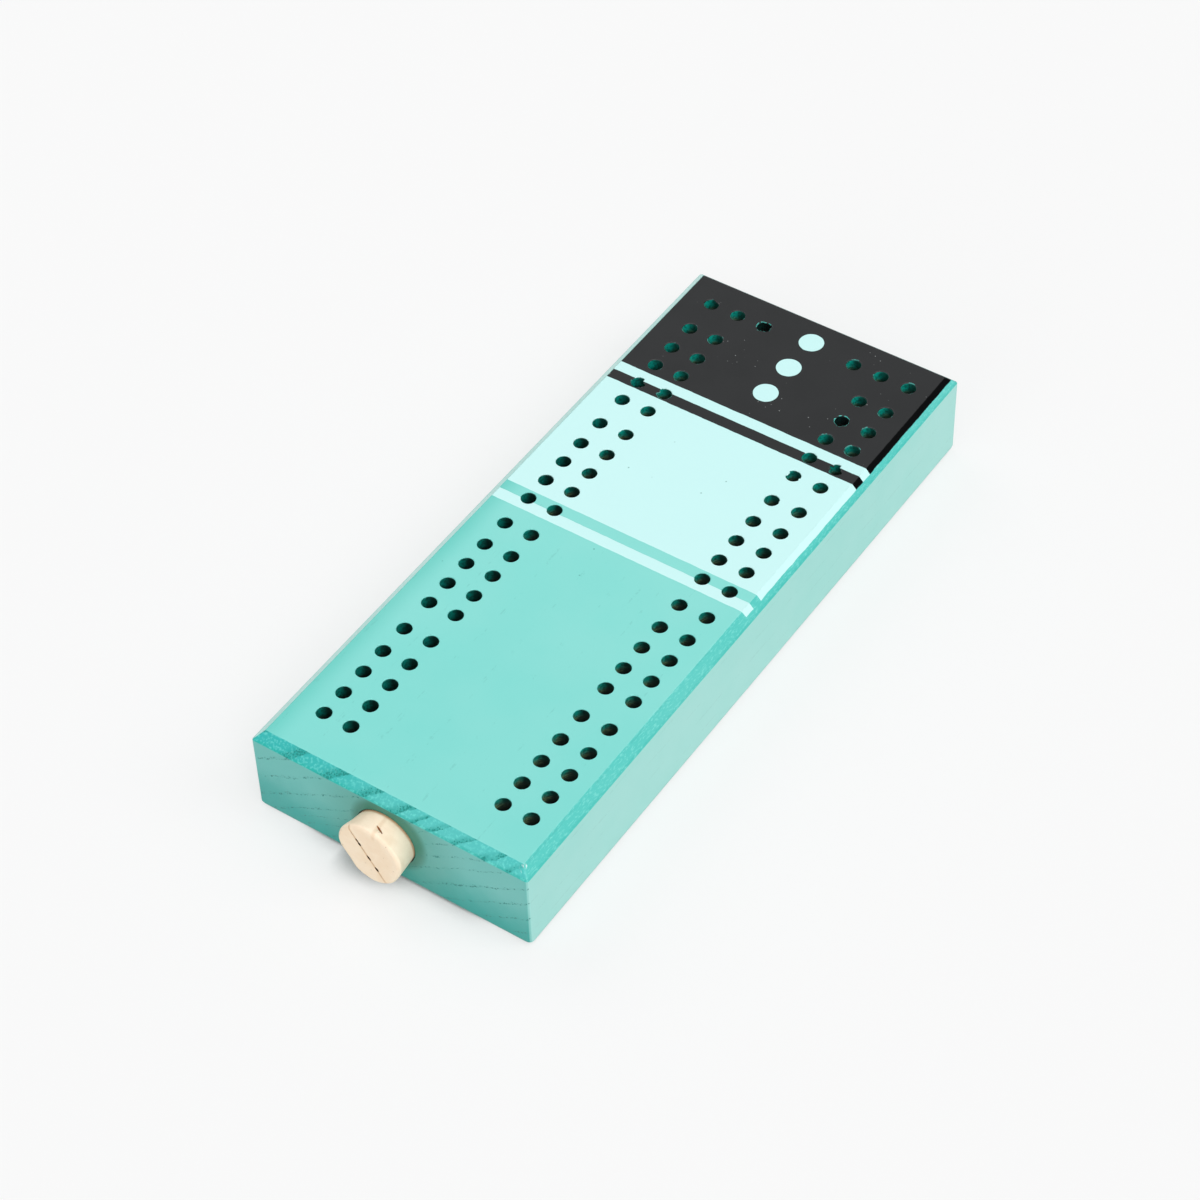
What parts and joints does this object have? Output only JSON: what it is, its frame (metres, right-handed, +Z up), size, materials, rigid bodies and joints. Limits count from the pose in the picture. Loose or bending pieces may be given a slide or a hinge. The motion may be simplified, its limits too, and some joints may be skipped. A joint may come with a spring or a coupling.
{
  "type": "cribbage board",
  "caption": "Rectangular painted wood game board with rows of peg holes, and a corked bore in one end that stores its pegs.",
  "frame": {"origin": "centre of the block's flat underside", "axes": "+Z up out of the drilled face, +Y along the board away from the stopper, +X to the right seen from the stopper's end"},
  "size_m": [0.0952, 0.2433, 0.0318],
  "materials": {
    "painted_wood": "satin teal paint over open-grained hardwood",
    "cork": "natural fine-grained cork",
    "natural_peg_wood": "clear-oiled maple",
    "black_peg_wood": "black-stained maple"
  },
  "bodies": {
    "board": {"board_block": "painted_wood"},
    "stopper": {"cork_stopper": "cork"},
    "natural_peg_1": {"natural_peg_1": "natural_peg_wood"},
    "black_peg_1": {"black_peg_1": "black_peg_wood"},
    "natural_peg_2": {"natural_peg_2": "natural_peg_wood"},
    "black_peg_2": {"black_peg_2": "black_peg_wood"},
    "natural_peg_3": {"natural_peg_3": "natural_peg_wood"},
    "black_peg_3": {"black_peg_3": "black_peg_wood"}
  },
  "joints": [
    {"name": "stopper_pull", "type": "slide", "parent": "board", "child": "stopper", "axis": [0, -1, 0], "range_m": [0, 0.02]},
    {"name": "natural_peg_1_slide", "type": "slide", "parent": "board", "child": "natural_peg_1", "axis": [0, 1, 0], "range_m": [-0.0065, 0.0389]},
    {"name": "black_peg_1_slide", "type": "slide", "parent": "board", "child": "black_peg_1", "axis": [0, 1, 0], "range_m": [-0.011, 0.0344]},
    {"name": "natural_peg_2_slide", "type": "slide", "parent": "board", "child": "natural_peg_2", "axis": [0, 1, 0], "range_m": [-0.0083, 0.0371]},
    {"name": "black_peg_2_slide", "type": "slide", "parent": "board", "child": "black_peg_2", "axis": [0, 1, 0], "range_m": [-0.0125, 0.0329]},
    {"name": "natural_peg_3_slide", "type": "slide", "parent": "board", "child": "natural_peg_3", "axis": [0, 1, 0], "range_m": [-0.0096, 0.0358]},
    {"name": "black_peg_3_slide", "type": "slide", "parent": "board", "child": "black_peg_3", "axis": [0, 1, 0], "range_m": [-0.0147, 0.0307]}
  ]
}
